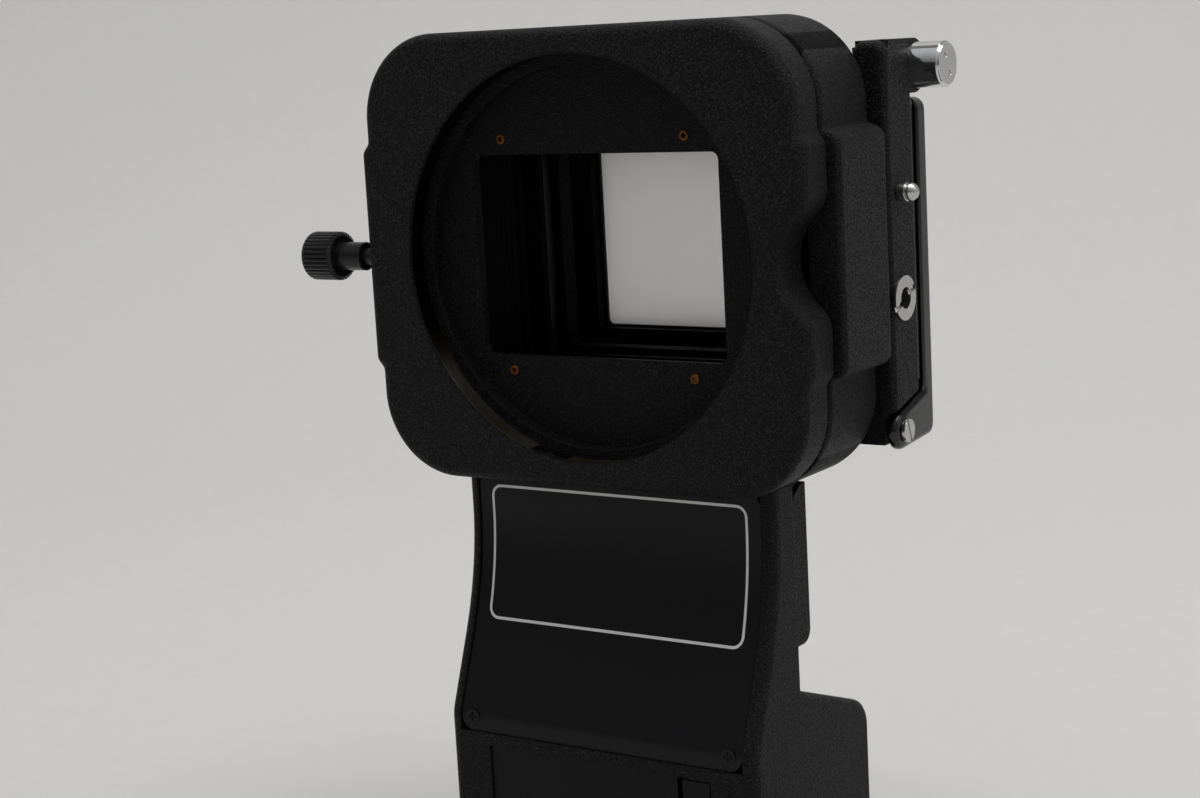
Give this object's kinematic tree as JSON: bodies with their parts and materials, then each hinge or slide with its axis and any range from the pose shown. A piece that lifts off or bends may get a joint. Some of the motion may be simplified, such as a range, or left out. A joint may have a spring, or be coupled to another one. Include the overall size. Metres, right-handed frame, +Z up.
{
  "type": "slide duplicator",
  "caption": "Slide copying head with collapsible bellows, shifting film stage and fold-down diffuser, on a curved column with a rail clamp foot.",
  "frame": {"origin": "centre of the lens opening, in the plane of the front frame's front face", "axes": "+X to the right seen from the lens, +Y along the optical axis from the lens to the lamp, +Z up the column"},
  "size_m": [0.1045, 0.0452, 0.1487],
  "materials": {
    "wrinkle_paint": "fine black wrinkle paint on die-cast metal",
    "nameplate": "smooth satin black plate",
    "black_anodised": "matt black anodised",
    "knob_black": "black anodised, knurled",
    "black_metal": "flat black",
    "black_screw": "blackened steel",
    "bellows_cloth": "matt black coated cloth",
    "brass": "dulled brass",
    "band_steel": "dull spring steel",
    "spring_steel": "bright spring steel",
    "satin_chrome": "satin chrome",
    "chrome": "bright chrome",
    "gloss_black": "semi-gloss black",
    "opal": "opal white, translucent"
  },
  "bodies": {
    "stand": {"column": "wrinkle_paint", "neck_cover": "wrinkle_paint", "neck_screws": "black_screw", "nameplate": "nameplate", "nameplate_screws": "black_screw", "rail_block": "black_anodised", "rail_block_screws": "black_screw", "rear_housing": "wrinkle_paint", "bellows_rear_frame": "black_metal"},
    "front": {"front_frame": "wrinkle_paint", "clamp_band": "band_steel", "mask_plate": "wrinkle_paint", "mask_rivets": "brass", "bellows_front_frame": "black_metal", "bellows": "bellows_cloth"},
    "lens_knob": {"lens_clamp_knob": "knob_black"},
    "carrier": {"shift_carrier": "black_anodised"},
    "stage": {"stage_body": "wrinkle_paint", "gate_plate": "black_metal", "gate_screws": "black_screw", "slide_springs": "spring_steel", "tray_bushes": "satin_chrome", "tray_pins": "satin_chrome", "hinge_screws": "satin_chrome"},
    "diffuser": {"opal_frame": "gloss_black", "opal_glass": "opal", "opal_retainer": "gloss_black", "retainer_screws": "black_screw"},
    "pressure": {"pressure_plate": "black_metal"},
    "button": {"release_button": "chrome", "latch_rod": "satin_chrome"},
    "jaw": {"clamp_jaw": "black_anodised"},
    "rail_knob": {"rail_knob": "knob_black"}
  },
  "joints": [
    {"name": "bellows_slide", "type": "slide", "parent": "stand", "child": "front", "axis": [0, -1, 0], "range_m": [0, 0.055], "deforming": ["bellows"]},
    {"name": "lens_knob_turn", "type": "hinge", "parent": "front", "child": "lens_knob", "pos_m": [-0.05, 0.0031, 0], "axis": [-1, 0, 0], "range_deg": [-720, 0]},
    {"name": "shift_vertical", "type": "slide", "parent": "stand", "child": "carrier", "axis": [0, 0, 1], "range_m": [-0.003, 0.003]},
    {"name": "shift_sideways", "type": "slide", "parent": "carrier", "child": "stage", "axis": [1, 0, 0], "range_m": [-0.0045, 0.0045]},
    {"name": "diffuser_hinge", "type": "hinge", "parent": "stage", "child": "diffuser", "pos_m": [0, 0.0288, -0.0299], "axis": [-1, 0, 0], "range_deg": [0, 90]},
    {"name": "pressure_slide", "type": "slide", "parent": "diffuser", "child": "pressure", "axis": [0, 1, 0], "range_m": [0, 0.0003], "stiffness_N_per_m": 400, "springref_m": -0.0005},
    {"name": "button_press", "type": "slide", "parent": "stage", "child": "button", "axis": [-1, 0, 0], "range_m": [0, 0.002], "stiffness_N_per_m": 300, "springref_m": -0.0008},
    {"name": "jaw_slide", "type": "slide", "parent": "stand", "child": "jaw", "axis": [-1, 0, 0], "range_m": [0, 0.0005]},
    {"name": "rail_knob_turn", "type": "hinge", "parent": "jaw", "child": "rail_knob", "pos_m": [0.04, 0.006, -0.099], "axis": [-1, 0, 0], "range_deg": [0, 360]}
  ],
  "couplings": [
    {"joint": "rail_knob_turn", "follows": "jaw_slide", "rad_per_m": 12566}
  ]
}
